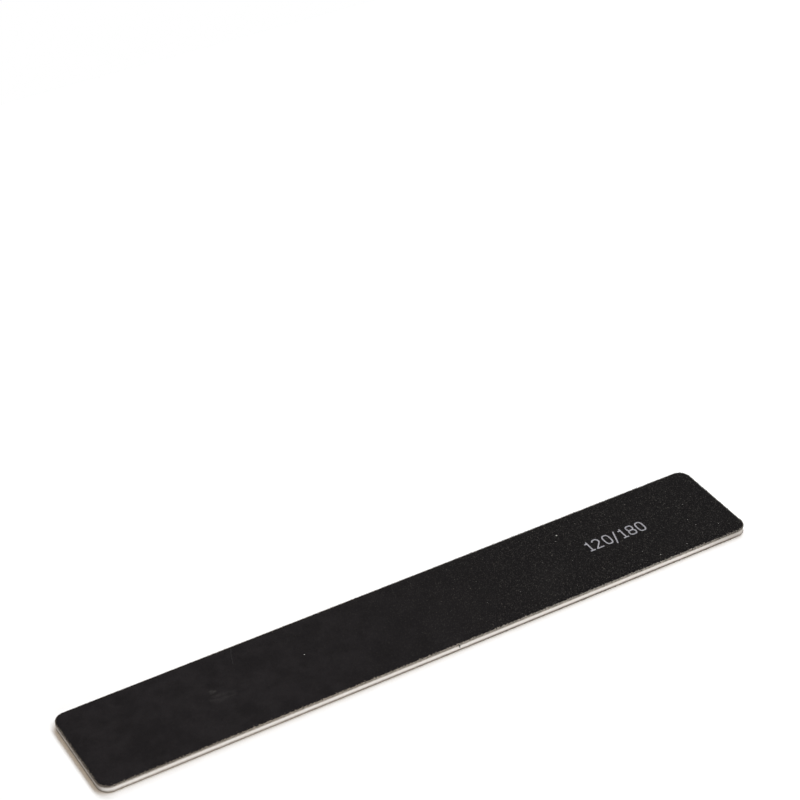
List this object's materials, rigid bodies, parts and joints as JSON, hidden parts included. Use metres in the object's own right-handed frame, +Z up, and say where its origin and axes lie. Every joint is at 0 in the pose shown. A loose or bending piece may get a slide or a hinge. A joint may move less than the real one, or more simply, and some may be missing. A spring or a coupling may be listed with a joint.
{
  "type": "nail file",
  "caption": "Straight flat nail file with rounded corners: black abrasive faces over a pale cushioned board, with its grades printed near one end.",
  "frame": {"origin": "middle of the flat face that the file rests on", "axes": "+X along the length towards the printed end, +Y across the width away from a reader of the print, +Z up through the thickness"},
  "size_m": [0.178, 0.028, 0.0024],
  "materials": {
    "coarse_grit": "matte",
    "fine_grit": "matte",
    "backing_paper": "matte",
    "adhesive_film": "satin",
    "cushion_foam": "matte",
    "core_plastic": "satin",
    "printed_ink": "matte"
  },
  "bodies": {
    "root": {"lower_grit_coat": "fine_grit", "lower_backing_paper": "backing_paper", "lower_paper_adhesive": "adhesive_film", "lower_foam_cushion": "cushion_foam", "lower_core_adhesive": "adhesive_film", "core_strip": "core_plastic", "upper_core_adhesive": "adhesive_film", "upper_foam_cushion": "cushion_foam", "upper_paper_adhesive": "adhesive_film", "upper_backing_paper": "backing_paper", "upper_grit_coat": "coarse_grit", "print_coarse_one": "printed_ink", "print_coarse_two": "printed_ink", "print_coarse_zero": "printed_ink", "print_slash": "printed_ink", "print_fine_one": "printed_ink", "print_fine_eight": "printed_ink", "print_fine_zero": "printed_ink"}
  },
  "joints": []
}
